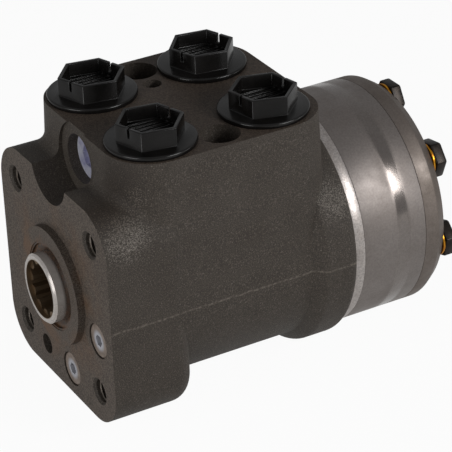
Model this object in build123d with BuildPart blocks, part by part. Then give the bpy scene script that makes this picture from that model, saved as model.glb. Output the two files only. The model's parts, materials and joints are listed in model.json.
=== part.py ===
from build123d import *
import os
from math import atan, atan2, cos, degrees, hypot, pi, radians, sin, tan

# Orbital steering unit.
# Frame: X is the shaft axis, pointing from the column flange to the end cover.
# The column flange's mounting face is x = 0, and +Z points to the port face.
# All sizes are in millimetres.

# ---------------------------------------------------------------------------
# Driving dimensions
# ---------------------------------------------------------------------------

# Housing casting
body_width = 83.4          # across the flange and the sides at the parting line
body_length = 97.3         # column face to the machined rear face
flange_corner = 16.0
foot_rear = 32.0           # rear end of the square flange block
foot_round = 7.0
casting_round = 3.0
block_cove = 4.0           # where the port block stands on the flange
rear_flange_radius = 45.5
rear_flange_length = 13.0
rear_flange_slope = 4.5    # length of the cone in front of the round flange
pilot_radius = 22.0
pilot_height = 2.8

# Ports
port_face_height = 57.5
front_port_x = 29.0
port_pitch_x = 44.25
port_pitch_y = 43.8
port_boss_radius = 17.3
block_rear_reach = 19.3     # from the rear ports' axes to the end of the block
port_radius = 9.5          # core of the pipe thread
port_depth = 15.0
port_chamfer = 1.0
port_passage_radius = 4.5
block_hole_x = 51.25       # the two blind holes beside the ports
block_hole_y = 30.1
block_hole_radius = 7.2
block_hole_depth = 9.0
gauge_hole_x = 50.7
gauge_hole_y = 17.8
gauge_hole_radius = 3.4
gauge_hole_depth = 8.0

# Column flange
column_pcd = 82.5
column_hole_count = 4
column_first_hole = 45.0   # degrees from +Y
column_hole_radius = 4.25  # core of the M10 thread
column_hole_depth = 17.0
column_hole_chamfer = 0.9
locating_hole_y = 12.8
locating_hole_z = -31.3
locating_hole_radius = 3.8
locating_hole_depth = 9.0

# Main bore, sleeve and spool
sleeve_radius = 19.0
spool_radius = 14.0
neck_radius = 12.85
running_clearance = 0.03
axial_clearance = 0.05
bearing_seat = 12.0
nose_length = 6.8          # spool nose in front of the column face
nose_chamfer = 0.7
neck_gap = 0.45            # between the spool's neck and the housing
race_gap = 0.25            # between the neck and the bearing's races
spool_rear_gap = 4.5
spool_cavity_radius = 10.4
spool_cavity_front = 36.5
gallery_width = 5.0
gallery_radius = 22.5
gallery_x = {"t": 34.5, "p": 55.0, "l": 65.0, "r": 75.0}
timing_row_x = 86.0        # sleeve ports that feed the gear set
passage_lean = 60.0        # degrees from +Y at which each passage meets its gallery
passage_overlap = 1.0
groove_count = 6
control_rows = [           # place, number of holes, their radius, degrees to the first
    (gallery_x["t"], 6, 1.5, 30),
    (gallery_x["p"], 12, 1.1, 15),
    (gallery_x["l"], 6, 2.0, 0),
    (gallery_x["r"], 6, 2.0, 30),
    (timing_row_x, 12, 1.3, 0),
]
groove_overrun = 2.5       # how far the spool's grooves run past the rows they join
groove_half_width = 1.3

# Splined socket for the steering shaft
socket_teeth = 12
socket_minor_radius = 8.73
socket_major_radius = 10.6
socket_space_inner = 3.4
socket_space_outer = 1.25
socket_depth = 17.0
socket_lead_in = 1.6
socket_lead_in_margin = 0.1
tooth_root_overlap = 0.5   # how far a tooth or space reaches into the round it stands on

# Seals and thrust bearing
dust_seal_radius = 16.4
dust_seal_width = 4.6
dust_seal_setback = 0.3
dust_seal_lip = 3.0
dust_seal_lip_length = 1.2
dust_seal_rim = 0.7        # thickness of the seal's outer wall
dust_seal_dish = 0.9       # depth of the dished front
dust_seal_dish_margin = 1.9
dust_seal_back_gap = 0.3
shaft_seal_front = 5.2
shaft_seal_width = 4.0
shaft_seal_radius = 17.0
slip_ring_wall = 1.5
race_thickness = 1.0
race_radius = 18.6
needle_radius = 1.0
needle_length = 3.6
needle_count = 16
needle_pitch_radius = 15.9
needle_clearance = 0.02
cage_gap = 0.2             # between the cage and the bore, and the cage and the neck
cage_share = 0.8           # of the needles' diameter

# Cross pin and centring springs
pin_x = 46.0
pin_radius = 4.0
pin_setback = 0.6
pin_chamfer = 0.5
spool_play = 8.0           # degrees that the pin can turn in the spool's slots
spring_x = 26.0
spring_width = 6.4
spring_leaf = 0.6
leaf_count = 6
leaf_gap = 0.02
spring_arch = 1.0
spring_slot_clearance = 0.15
spring_ring_wall = 1.0
spring_ring_margin = 1.4

# Gear set: seven fixed lobes, six on the rotor
gear_width = 26.0
lobe_count = 7
lobe_circle = 32.0
lobe_radius = 8.0
eccentricity = 3.8
gear_clearance = 0.05
gear_side_clearance = 0.03
ring_radius = 43.1
rotor_points_per_lobe = 28
rotor_point_spread = 0.85   # draws the outline's points together in the rotor's hollows

# Plate, cover and their screws
plate_thickness = 4.0
plate_bore_radius = 13.6
plate_port_radius = 2.6
plate_port_length = 7.8
plate_port_circle = 27.0
cover_thickness = 9.5
cover_bevel_length = 4.0
cover_bevel_depth = 2.6
cover_round = 1.5
screw_pcd = 70.0
screw_radius = 4.0
screw_clearance = 0.25
screw_thread_clearance = 0.05
screw_reach = 15.0         # thread length in the housing
screw_hole_extra = 2.5
screw_head_flats = 13.0
screw_head_height = 5.5
screw_head_crown = 0.9     # how far outside the flats the crowning cone starts
screw_crown_angle = 30.0
screw_head_turn = 30.0
screw_tip_chamfer = 0.8
special_index = 3          # the screw with the spigot at its end
special_spigot_length = 2.0
washer_radius = 7.0
washer_thickness = 1.6
channel_radius = 2.0
o_ring_section = 0.95      # radius of the ring's cord
o_ring_clearance = 0.05
o_ring_circle = 40.9

# Drive shaft
shaft_spline_teeth = 12
shaft_spline_root = 10.2
shaft_spline_tip = 12.1
shaft_tooth_root_width = 3.3
shaft_tooth_tip_width = 1.9
shaft_spline_length = 12.0
spline_radial_clearance = 0.4
spline_flank_clearance = 0.4
shaft_neck_radius = 7.0
fork_radius = 9.4
fork_front = 7.0           # fork length in front of the pin
fork_rear = 9.0            # and behind it, to the taper
fork_slot_clearance = 0.08
fork_slot_relief = 0.8     # behind the pin, for the shaft's swing
taper_length = 5.0
spacer_thickness = 4.6
spacer_clearance = 0.3
spacer_chamfer = 0.4

# Relief valve, on an axis parallel to the shaft
relief_y = 0.8
relief_z = 45.6
scoop_radius = 13.5
relief_mouth_x = 12.5
relief_plug_radius = 9.0
relief_plug_setback = 3.5
relief_plug_length = 5.0
relief_plug_socket = 8.0   # across flats
relief_plug_socket_depth = 3.2
plug_chamfer = 0.5
relief_seal_thickness = 1.2
relief_seal_margin = 0.2
relief_bore_radius = 6.0
relief_screw_length = 7.0
relief_screw_setback = 1.0
relief_seat_x = 56.0
relief_seat_radius = 2.6
relief_drain_length = 7.0
poppet_length = 12.0
poppet_spigot_length = 4.0
poppet_spigot_radius = 2.0
poppet_cone_length = 3.0
poppet_seat_margin = 0.6
relief_spring_wire = 0.7
relief_spring_radius = 4.2
relief_spring_pitch = 2.6
valve_clearance = 0.04

# Shock valves, one in each working line
shock_axes = {"inner": (-7.2, -31.5), "outer": (-30.7, -7.8)}
shock_plug_radius = 6.4
shock_plug_length = 8.0
shock_plug_socket = 4.0
shock_plug_socket_depth = 4.0
shock_plug_setback = 0.4
shock_bore_radius = 4.2
shock_seat_x = 30.0
shock_seat_radius = 1.8
shock_seat_length = 5.0
shock_ball_radius = 3.4
shock_spring_wire = 0.5
shock_spring_radius = 2.9
shock_spring_pitch = 3.0
thread_clearance = 0.05
tolerance = 0.01           # for picking edges by their size
hexagon_sides = 6

# Check valve under the pump port
check_bore_radius = 6.5
check_bore_depth = 14.0
check_bushing_length = 5.0
check_bushing_bore = 3.4
check_ball_radius = 4.6
check_seat_radius = 3.0
check_seat_depth = 3.0

# Port caps
cap_disc_radius = 16.2
cap_disc_thickness = 1.8
cap_disc_chamfer = 0.4
cap_hex_flats = 21.3
cap_hex_height = 6.8
cap_wall = 1.3
cap_floor_drop = 5.0
cap_slot_width = 1.1
cap_slot_depth = 3.6
cap_rib_width = 0.9
cap_rib_height = 0.6
cap_rib_pitch = 2.4
cap_rib_count = 7
cap_rib_setback = 0.3      # between the ribs' ends and the hexagon's wall
cap_skirt_radius = 9.2
cap_skirt_length = 9.0
cap_skirt_wall = 1.6
cap_turn = {"t": 49.0, "p": 50.0, "l": 43.0, "r": 51.0}   # how far each is screwed in

# ---------------------------------------------------------------------------
# Places worked out from the driving dimensions
# ---------------------------------------------------------------------------

half_width = body_width / 2
main_bore_radius = sleeve_radius + running_clearance
neck_bore_radius = neck_radius + neck_gap
port_ys = (-port_pitch_y / 2, port_pitch_y / 2)
rear_port_x = front_port_x + port_pitch_x
port_places = {
    "t": (front_port_x, port_ys[0]),
    "p": (front_port_x, port_ys[1]),
    "l": (rear_port_x, port_ys[0]),
    "r": (rear_port_x, port_ys[1]),
}
port_floor = port_face_height - port_depth

block_front = front_port_x - port_boss_radius
block_rear = rear_port_x + block_rear_reach
block_half_width = port_pitch_y / 2 + port_boss_radius
draft_shift = half_width - block_half_width
side_draft = degrees(atan(draft_shift / port_face_height))

plate_front = body_length
rim_front = plate_front + plate_thickness
cover_front = rim_front + gear_width
cover_rear = cover_front + cover_thickness
gear_middle = rim_front + gear_width / 2

valley_radius = lobe_circle + 2 * eccentricity - lobe_radius + gear_clearance
screw_circle = screw_pcd / 2
screw_hole_radius = screw_radius + screw_clearance
thread_hole_radius = screw_radius + screw_thread_clearance
first_lobe = 90            # degrees from +Y towards +Z
lobe_step = 360 / lobe_count

race_front = bearing_seat + axial_clearance
cage_front = race_front + race_thickness + needle_clearance
cage_thickness = 2 * needle_radius
inner_race_front = cage_front + cage_thickness + needle_clearance
sleeve_front = inner_race_front + race_thickness + axial_clearance
sleeve_rear = body_length - axial_clearance
sleeve_bore_radius = spool_radius + running_clearance
race_bore_radius = neck_radius + race_gap
spool_rear = body_length - spool_rear_gap
spring_ring_inner = sleeve_radius - 2 * spring_ring_wall
spring_ring_outer = spring_ring_inner + spring_ring_wall

shaft_tilt = degrees(atan2(eccentricity, gear_middle - pin_x))
shaft_reach = hypot(gear_middle - pin_x, eccentricity)
shaft_plane = Plane(
    origin=(pin_x, 0, 0),
    x_dir=(0, 1, 0),
    z_dir=(cos(radians(shaft_tilt)), 0, sin(radians(shaft_tilt))),
)
rotor_plane = Plane(origin=(gear_middle, 0, eccentricity), x_dir=(0, 1, 0), z_dir=(1, 0, 0))

o_ring_groove = o_ring_section + o_ring_clearance
o_ring_groove_depth = 2 * o_ring_groove

relief_plug_front = relief_mouth_x + relief_plug_setback
relief_plug_rear = relief_plug_front + relief_plug_length
relief_shoulder = relief_plug_rear + relief_seal_thickness
relief_screw_front = relief_shoulder + relief_screw_setback
relief_screw_rear = relief_screw_front + relief_screw_length
poppet_rear = relief_seat_x - axial_clearance
poppet_front = poppet_rear - poppet_length

shock_plug_rear = shock_plug_setback + shock_plug_length
check_floor = port_floor - check_bore_depth


def across(x):
    """The plane across the shaft axis at x, with Y to the right and Z up."""
    return Plane.YZ.offset(x)


def valve_plane(x, y, z):
    """A plane across an axis parallel to the shaft, looking along +X."""
    return Plane(origin=(x, y, z), x_dir=(0, 1, 0), z_dir=(1, 0, 0))


def rotor_outline():
    """Points of the six-lobed rotor: the envelope of the fixed lobes in its own frame."""
    rotor_lobes = lobe_count - 1
    count = rotor_points_per_lobe * rotor_lobes
    points = []
    for step in range(count):
        even = 2 * pi * step / count
        turn = even - rotor_point_spread * sin(rotor_lobes * even) / rotor_lobes + radians(first_lobe)
        fast = lobe_count * turn - radians(first_lobe) * rotor_lobes
        path_y = lobe_circle * cos(turn) - eccentricity * cos(fast)
        path_z = lobe_circle * sin(turn) - eccentricity * sin(fast)
        normal_y = lobe_circle * cos(turn) - lobe_count * eccentricity * cos(fast)
        normal_z = lobe_circle * sin(turn) - lobe_count * eccentricity * sin(fast)
        scale = (lobe_radius + gear_clearance) / hypot(normal_y, normal_z)
        points.append((path_y - scale * normal_y, path_z - scale * normal_z))
    return points


def tooth(inner_radius, outer_radius, inner_width, outer_width):
    """Corners of one spline tooth or space, pointing along local X."""
    return [
        (inner_radius, -inner_width / 2),
        (outer_radius, -outer_width / 2),
        (outer_radius, outer_width / 2),
        (inner_radius, inner_width / 2),
    ]


pieces = {}

# ---------------------------------------------------------------------------
# Housing
# ---------------------------------------------------------------------------

with BuildPart() as housing:
    # Square flange block with its rear edges rounded
    with BuildSketch(Plane.YZ):
        RectangleRounded(body_width, body_width, flange_corner)
    extrude(amount=foot_rear)
    fillet(housing.faces().sort_by(Axis.X)[-1].edges(), radius=foot_round)

    # Barrel round the bore, growing into the round rear flange
    with BuildSketch(Plane.XZ):
        with BuildLine():
            cone_rear = body_length - rear_flange_length
            Polyline(
                (0, 0),
                (0, half_width),
                (cone_rear - rear_flange_slope, half_width),
                (cone_rear, rear_flange_radius),
                (body_length, rear_flange_radius),
                (body_length, 0),
                close=True,
            )
        make_face()
        rim_corners = vertices().filter_by_position(
            Axis.X, cone_rear - rear_flange_slope - 1, body_length
        )
        fillet(rim_corners.sort_by(Axis.Y)[2:], radius=casting_round)
    revolve(axis=Axis.X)

    # Port block: bosses round the four ports, drafted towards the port face
    with BuildSketch(Plane.XY):
        with Locations(((block_front + block_rear) / 2, 0)):
            RectangleRounded(
                block_rear - block_front + 2 * draft_shift,
                body_width,
                port_boss_radius + draft_shift,
            )
    extrude(amount=port_face_height, taper=side_draft)
    foot_middle = (block_front + foot_rear) / 2
    cove_edges = housing.edges(Select.NEW).filter_by(Axis.X, reverse=True).filter_by(
        lambda edge: edge.center().X < foot_middle and edge.center().Z < port_face_height - tolerance
    )
    fillet(cove_edges, radius=block_cove)

    # Pilot boss round the shaft
    with BuildSketch(Plane.YZ):
        Circle(pilot_radius)
    extrude(amount=-pilot_height)

    # Scoop in the flange that leaves the relief valve open to the front
    with BuildSketch(valve_plane(0, relief_y, relief_z)):
        Circle(scoop_radius)
    extrude(amount=relief_mouth_x, mode=Mode.SUBTRACT)

    # Bores for the seals, the thrust bearing and the sleeve
    with BuildSketch(across(-pilot_height)):
        Circle(neck_bore_radius)
    extrude(amount=pilot_height + bearing_seat, mode=Mode.SUBTRACT)
    with BuildSketch(across(-pilot_height)):
        Circle(dust_seal_radius)
    extrude(amount=dust_seal_setback + dust_seal_width, mode=Mode.SUBTRACT)
    with BuildSketch(across(shaft_seal_front)):
        Circle(shaft_seal_radius)
    extrude(amount=shaft_seal_width, mode=Mode.SUBTRACT)
    with BuildSketch(across(bearing_seat)):
        Circle(main_bore_radius)
    extrude(amount=body_length - bearing_seat, mode=Mode.SUBTRACT)

    # Galleries round the sleeve, one for each port
    for middle in gallery_x.values():
        with BuildSketch(across(middle - gallery_width / 2)):
            Circle(gallery_radius)
        extrude(amount=gallery_width, mode=Mode.SUBTRACT)

    # Ports, and the passage from each to its gallery
    for name, (x, y) in port_places.items():
        with BuildSketch(Plane(origin=(x, y, port_face_height))):
            Circle(port_radius)
        extrude(amount=-port_depth, mode=Mode.SUBTRACT)
        passage_top = check_floor - check_seat_depth if name == "p" else port_floor
        gallery_depth = (sleeve_radius + gallery_radius) / 2
        target = Vector(
            gallery_x[name],
            gallery_depth * cos(radians(passage_lean)) * (1 if y > 0 else -1),
            gallery_depth * sin(radians(passage_lean)),
        )
        start = Vector(x, y, passage_top + passage_overlap)
        passage = Plane(origin=start, z_dir=target - start)
        with BuildSketch(passage):
            Circle(check_seat_radius if name == "p" else port_passage_radius)
        extrude(amount=(target - start).length, mode=Mode.SUBTRACT)
    port_mouths = housing.edges().filter_by(GeomType.CIRCLE).filter_by(
        lambda edge: abs(edge.radius - port_radius) < tolerance
        and abs(edge.center().Z - port_face_height) < tolerance
    )
    chamfer(port_mouths, length=port_chamfer)

    # Check valve bore under the pump port
    with BuildSketch(Plane(origin=(*port_places["p"], port_floor))):
        Circle(check_bore_radius)
    extrude(amount=-check_bore_depth, mode=Mode.SUBTRACT)
    with BuildSketch(Plane(origin=(*port_places["p"], check_floor))):
        Circle(check_seat_radius)
    extrude(amount=-check_seat_depth, mode=Mode.SUBTRACT)

    # Blind holes beside the ports
    with BuildSketch(Plane.XY.offset(port_face_height)):
        with Locations((block_hole_x, -block_hole_y), (block_hole_x, block_hole_y)):
            Circle(block_hole_radius)
    extrude(amount=-block_hole_depth, mode=Mode.SUBTRACT)
    with BuildSketch(Plane.XY.offset(port_face_height)):
        with Locations((gauge_hole_x, gauge_hole_y)):
            Circle(gauge_hole_radius)
    extrude(amount=-gauge_hole_depth, mode=Mode.SUBTRACT)

    # Relief valve bore, its seat and the drilling behind it
    with BuildSketch(valve_plane(relief_mouth_x, relief_y, relief_z)):
        Circle(relief_plug_radius + thread_clearance)
    extrude(amount=relief_shoulder - relief_mouth_x, mode=Mode.SUBTRACT)
    with BuildSketch(valve_plane(relief_shoulder, relief_y, relief_z)):
        Circle(relief_bore_radius + valve_clearance)
    extrude(amount=relief_seat_x - relief_shoulder, mode=Mode.SUBTRACT)
    with BuildSketch(valve_plane(relief_seat_x, relief_y, relief_z)):
        Circle(relief_seat_radius)
    extrude(amount=relief_drain_length, mode=Mode.SUBTRACT)

    # Shock valve bores
    for y, z in shock_axes.values():
        with BuildSketch(valve_plane(0, y, z)):
            Circle(shock_plug_radius + thread_clearance)
        extrude(amount=shock_plug_rear + axial_clearance, mode=Mode.SUBTRACT)
        with BuildSketch(valve_plane(shock_plug_rear, y, z)):
            Circle(shock_bore_radius)
        extrude(amount=shock_seat_x - shock_plug_rear, mode=Mode.SUBTRACT)
        with BuildSketch(valve_plane(shock_seat_x, y, z)):
            Circle(shock_seat_radius)
        extrude(amount=shock_seat_length, mode=Mode.SUBTRACT)

    # Four tapped holes and the locating hole in the column face
    with BuildSketch(Plane.YZ):
        with PolarLocations(column_pcd / 2, column_hole_count, start_angle=column_first_hole):
            Circle(column_hole_radius)
    extrude(amount=column_hole_depth, mode=Mode.SUBTRACT)
    column_mouths = housing.edges().filter_by(GeomType.CIRCLE).filter_by(
        lambda edge: abs(edge.radius - column_hole_radius) < tolerance
        and abs(edge.center().X) < tolerance
    )
    chamfer(column_mouths, length=column_hole_chamfer)
    with BuildSketch(Plane.YZ):
        with Locations((locating_hole_y, locating_hole_z)):
            Circle(locating_hole_radius)
    extrude(amount=locating_hole_depth, mode=Mode.SUBTRACT)

    # Rear face: tapped holes, O-ring groove and the channels to the gear set
    with BuildSketch(across(body_length)):
        with PolarLocations(screw_circle, lobe_count, start_angle=first_lobe):
            Circle(thread_hole_radius)
    extrude(amount=-(screw_reach + screw_hole_extra), mode=Mode.SUBTRACT)
    with BuildSketch(across(body_length)):
        Circle(o_ring_circle + o_ring_groove)
        Circle(o_ring_circle - o_ring_groove, mode=Mode.SUBTRACT)
    extrude(amount=-o_ring_groove_depth, mode=Mode.SUBTRACT)
    for index in range(lobe_count):
        angle = radians(first_lobe + lobe_step / 2 + index * lobe_step)
        mouth = Vector(body_length, plate_port_circle * cos(angle), plate_port_circle * sin(angle))
        bottom = Vector(timing_row_x, sleeve_radius * cos(angle), sleeve_radius * sin(angle))
        outside = mouth + (mouth - bottom).normalized() * channel_radius
        with BuildSketch(Plane(origin=outside, z_dir=bottom - outside)):
            Circle(channel_radius)
        extrude(amount=(bottom - outside).length, mode=Mode.SUBTRACT)
pieces["housing"] = housing

# ---------------------------------------------------------------------------
# Seals in the housing's nose
# ---------------------------------------------------------------------------

with BuildPart() as dust_seal:
    seal_front = -pilot_height + dust_seal_setback
    seal_rear = seal_front + dust_seal_width - axial_clearance
    lip_radius = neck_radius + running_clearance
    with BuildSketch(Plane.XZ):
        with BuildLine():
            Polyline(
                (seal_front, dust_seal_radius),
                (seal_rear, dust_seal_radius),
                (seal_rear, neck_bore_radius + dust_seal_back_gap),
                (seal_front + dust_seal_lip, lip_radius),
                (seal_front + dust_seal_lip - dust_seal_lip_length, lip_radius),
                (seal_front + dust_seal_dish, dust_seal_radius - dust_seal_dish_margin),
                (seal_front + dust_seal_dish, dust_seal_radius - dust_seal_rim),
                (seal_front, dust_seal_radius - dust_seal_rim),
                close=True,
            )
        make_face()
    revolve(axis=Axis.X)
pieces["dust_seal"] = dust_seal

slip_ring_outer = neck_radius + running_clearance + slip_ring_wall
with BuildPart() as shaft_seal_ring:
    with BuildSketch(across(shaft_seal_front + axial_clearance)):
        Circle(slip_ring_outer)
        Circle(neck_radius + running_clearance, mode=Mode.SUBTRACT)
    extrude(amount=shaft_seal_width - 2 * axial_clearance)
pieces["shaft_seal_ring"] = shaft_seal_ring

with BuildPart() as shaft_seal_o_ring:
    cord_radius = (shaft_seal_radius - slip_ring_outer) / 2 - running_clearance
    with BuildSketch(Plane.XZ):
        with Locations(
            (shaft_seal_front + shaft_seal_width / 2, (shaft_seal_radius + slip_ring_outer) / 2)
        ):
            Circle(cord_radius)
    revolve(axis=Axis.X)
pieces["shaft_seal_o_ring"] = shaft_seal_o_ring

# ---------------------------------------------------------------------------
# Thrust bearing between housing and sleeve
# ---------------------------------------------------------------------------

with BuildPart() as bearing_race_front:
    with BuildSketch(across(race_front)):
        Circle(race_radius)
        Circle(race_bore_radius, mode=Mode.SUBTRACT)
    extrude(amount=race_thickness)
pieces["bearing_race_front"] = bearing_race_front

with BuildPart() as bearing_race_rear:
    with BuildSketch(across(inner_race_front)):
        Circle(race_radius)
        Circle(race_bore_radius, mode=Mode.SUBTRACT)
    extrude(amount=race_thickness)
pieces["bearing_race_rear"] = bearing_race_rear

with BuildPart() as bearing_cage:
    with BuildSketch(across(cage_front + cage_thickness * (1 - cage_share) / 2)):
        Circle(race_radius - cage_gap)
        Circle(race_bore_radius + cage_gap, mode=Mode.SUBTRACT)
        with PolarLocations(needle_pitch_radius, needle_count):
            Rectangle(
                needle_length + 4 * axial_clearance,
                2 * needle_radius + 4 * needle_clearance,
                mode=Mode.SUBTRACT,
            )
    extrude(amount=cage_thickness * cage_share)
pieces["bearing_cage"] = bearing_cage

with BuildPart() as bearing_needles:
    needle_middle = cage_front + cage_thickness / 2
    for index in range(needle_count):
        angle = radians(360 * index / needle_count)
        outward = Vector(0, cos(angle), sin(angle))
        inner_end = outward * (needle_pitch_radius - needle_length / 2)
        with BuildSketch(Plane(origin=Vector(needle_middle, 0, 0) + inner_end, z_dir=outward)):
            Circle(needle_radius)
        extrude(amount=needle_length)
pieces["bearing_needles"] = bearing_needles

# ---------------------------------------------------------------------------
# Sleeve, spool, cross pin and centring springs
# ---------------------------------------------------------------------------

leaf_pack = leaf_count * spring_leaf
leaf_half_length = spring_ring_inner - 2 * axial_clearance
bow_at_sleeve = spring_arch * (1 - (spool_radius / leaf_half_length) ** 2)
sleeve_slot = leaf_pack + 2 * (bow_at_sleeve + spring_slot_clearance)
spool_slot = leaf_pack + 2 * (spring_arch + spring_slot_clearance)
ring_groove_width = spring_width + 2 * spring_ring_margin

with BuildPart() as sleeve:
    with BuildSketch(across(sleeve_front)):
        Circle(sleeve_radius)
        Circle(sleeve_bore_radius, mode=Mode.SUBTRACT)
    extrude(amount=sleeve_rear - sleeve_front)
    # Groove for the ring that keeps the springs in
    with BuildSketch(across(spring_x - ring_groove_width / 2 - axial_clearance)):
        Circle(main_bore_radius)
        Circle(spring_ring_inner - axial_clearance, mode=Mode.SUBTRACT)
    extrude(amount=ring_groove_width + 2 * axial_clearance, mode=Mode.SUBTRACT)
    # Slots for the springs and holes for the cross pin
    with BuildSketch(Plane.XY):
        with Locations((spring_x, 0)):
            Rectangle(spring_width + 2 * spring_slot_clearance, sleeve_slot)
    extrude(amount=sleeve_radius, both=True, mode=Mode.SUBTRACT)
    with BuildSketch(Plane.XZ):
        with Locations((pin_x, 0)):
            Circle(pin_radius + running_clearance)
    extrude(amount=sleeve_radius, both=True, mode=Mode.SUBTRACT)
    # Rows of control holes: tank, pump, two working rows and the row for the gear set
    for row_x, count, radius, start in control_rows:
        for index in range(count):
            angle = radians(start + 360 * index / count)
            outward = Vector(0, cos(angle), sin(angle))
            with BuildSketch(Plane(origin=Vector(row_x, 0, 0) + outward * spool_radius, z_dir=outward)):
                Circle(radius)
            extrude(amount=sleeve_radius, mode=Mode.SUBTRACT)
pieces["sleeve"] = sleeve

with BuildPart() as spool:
    with BuildSketch(across(-nose_length)):
        Circle(neck_radius)
    extrude(amount=nose_length + sleeve_front + axial_clearance)
    chamfer(spool.faces().sort_by(Axis.X)[0].edges(), length=nose_chamfer)
    with BuildSketch(across(sleeve_front + axial_clearance)):
        Circle(spool_radius)
    extrude(amount=spool_rear - sleeve_front - axial_clearance)
    # Splined socket with a plain lead-in
    with BuildSketch(across(-nose_length)):
        Circle(socket_minor_radius)
        with PolarLocations(0, socket_teeth, start_angle=180 / socket_teeth):
            Polygon(
                *tooth(
                    socket_minor_radius - tooth_root_overlap,
                    socket_major_radius,
                    socket_space_inner,
                    socket_space_outer,
                ),
                align=None,
            )
    extrude(amount=socket_depth, mode=Mode.SUBTRACT)
    with BuildSketch(across(-nose_length)):
        Circle(socket_major_radius + socket_lead_in_margin)
    extrude(amount=socket_lead_in, mode=Mode.SUBTRACT)
    # Cavity for the drive shaft's fork
    with BuildSketch(across(spool_cavity_front)):
        Circle(spool_cavity_radius)
    extrude(amount=spool_rear - spool_cavity_front, mode=Mode.SUBTRACT)
    # Slot for the springs
    with BuildSketch(Plane.XY):
        with Locations((spring_x, 0)):
            Rectangle(spring_width + 2 * spring_slot_clearance, spool_slot)
    extrude(amount=spool_radius, both=True, mode=Mode.SUBTRACT)
    # Slots that let the cross pin turn by the spool's play
    pin_reach = spool_radius * tan(radians(spool_play)) + pin_radius / cos(radians(spool_play))
    pin_slot_length = 2 * (pin_reach + running_clearance)
    with BuildSketch(Plane.XZ):
        with Locations((pin_x, 0)):
            SlotOverall(pin_slot_length, 2 * (pin_radius + running_clearance), rotation=90)
    extrude(amount=spool_radius, both=True, mode=Mode.SUBTRACT)
    # Long control grooves: from the pump row and the first working row to the gear set's row
    groove_rear = timing_row_x + groove_overrun
    for start, first_row in ((0, "p"), (180 / groove_count, "l")):
        groove_front = gallery_x[first_row] - groove_overrun
        for index in range(groove_count):
            angle = radians(start + 360 * index / groove_count)
            outward = Vector(0, cos(angle), sin(angle))
            middle = Vector((groove_front + groove_rear) / 2, 0, 0)
            floor = middle + outward * (spool_radius - groove_half_width)
            with BuildSketch(Plane(origin=floor, x_dir=(1, 0, 0), z_dir=outward)):
                SlotOverall(groove_rear - groove_front, 2 * groove_half_width)
            extrude(amount=2 * groove_half_width, mode=Mode.SUBTRACT)
pieces["spool"] = spool

with BuildPart() as cross_pin:
    with BuildSketch(Plane.XZ):
        with Locations((pin_x, 0)):
            Circle(pin_radius)
    extrude(amount=sleeve_radius - pin_setback, both=True)
    chamfer(cross_pin.edges().filter_by(GeomType.CIRCLE), length=pin_chamfer)
pieces["cross_pin"] = cross_pin

with BuildPart() as centring_springs:
    for side in (-1, 1):
        for layer in range(leaf_count // 2):
            inner = side * (layer * spring_leaf + leaf_gap)
            outer = side * (layer + 1) * spring_leaf
            bow = side * spring_arch if layer else 0
            with BuildSketch(Plane.YZ.offset(spring_x - spring_width / 2)):
                with BuildLine():
                    if layer:
                        ThreePointArc((inner, -leaf_half_length), (inner + bow, 0), (inner, leaf_half_length))
                        Line((inner, leaf_half_length), (outer, leaf_half_length))
                        ThreePointArc((outer, leaf_half_length), (outer + bow, 0), (outer, -leaf_half_length))
                        Line((outer, -leaf_half_length), (inner, -leaf_half_length))
                    else:
                        Polyline(
                            (inner, -leaf_half_length),
                            (inner, leaf_half_length),
                            (outer, leaf_half_length),
                            (outer, -leaf_half_length),
                            close=True,
                        )
                make_face()
            extrude(amount=spring_width)
pieces["centring_springs"] = centring_springs

with BuildPart() as spring_ring:
    with BuildSketch(across(spring_x - ring_groove_width / 2)):
        Circle(spring_ring_outer)
        Circle(spring_ring_inner, mode=Mode.SUBTRACT)
    extrude(amount=ring_groove_width)
pieces["spring_ring"] = spring_ring

# ---------------------------------------------------------------------------
# Drive shaft: fork on the cross pin, spline in the rotor, tilted by the eccentricity
# ---------------------------------------------------------------------------

with BuildPart() as drive_shaft:
    spline_start = shaft_reach - shaft_spline_length / 2
    with BuildSketch(shaft_plane.offset(-fork_front)):
        Circle(fork_radius)
    extrude(amount=fork_front + fork_rear)
    with BuildSketch(shaft_plane.offset(fork_rear)):
        Circle(fork_radius)
    with BuildSketch(shaft_plane.offset(fork_rear + taper_length)):
        Circle(shaft_neck_radius)
    loft()
    with BuildSketch(shaft_plane.offset(fork_rear + taper_length)):
        Circle(shaft_neck_radius)
    extrude(amount=spline_start - fork_rear - taper_length)
    with BuildSketch(shaft_plane.offset(spline_start)):
        Circle(shaft_spline_root)
        with PolarLocations(0, shaft_spline_teeth):
            Polygon(
                *tooth(
                    shaft_spline_root - tooth_root_overlap,
                    shaft_spline_tip,
                    shaft_tooth_root_width,
                    shaft_tooth_tip_width,
                ),
                align=None,
            )
    extrude(amount=shaft_spline_length)
    # Slot of the fork, rounded to the pin
    slot_width = 2 * (pin_radius + fork_slot_clearance)
    slot_plane = Plane(origin=(pin_x, 0, 0), x_dir=shaft_plane.z_dir, z_dir=(0, -1, 0))
    with BuildSketch(slot_plane):
        with Locations((fork_slot_relief, 0)):
            Circle(slot_width / 2)
        with Locations((-fork_front, 0)):
            Rectangle(2 * (fork_front + fork_slot_relief), slot_width)
    extrude(amount=2 * fork_radius, both=True, mode=Mode.SUBTRACT)
pieces["drive_shaft"] = drive_shaft

# ---------------------------------------------------------------------------
# Gear set
# ---------------------------------------------------------------------------

with BuildPart() as distribution_plate:
    with BuildSketch(across(plate_front)):
        Circle(ring_radius)
        Circle(plate_bore_radius, mode=Mode.SUBTRACT)
        with PolarLocations(screw_circle, lobe_count, start_angle=first_lobe):
            Circle(screw_hole_radius, mode=Mode.SUBTRACT)
        with PolarLocations(plate_port_circle, lobe_count, start_angle=first_lobe + lobe_step / 2):
            SlotOverall(plate_port_length, 2 * plate_port_radius, rotation=90, mode=Mode.SUBTRACT)
    extrude(amount=plate_thickness)
pieces["distribution_plate"] = distribution_plate

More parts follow.
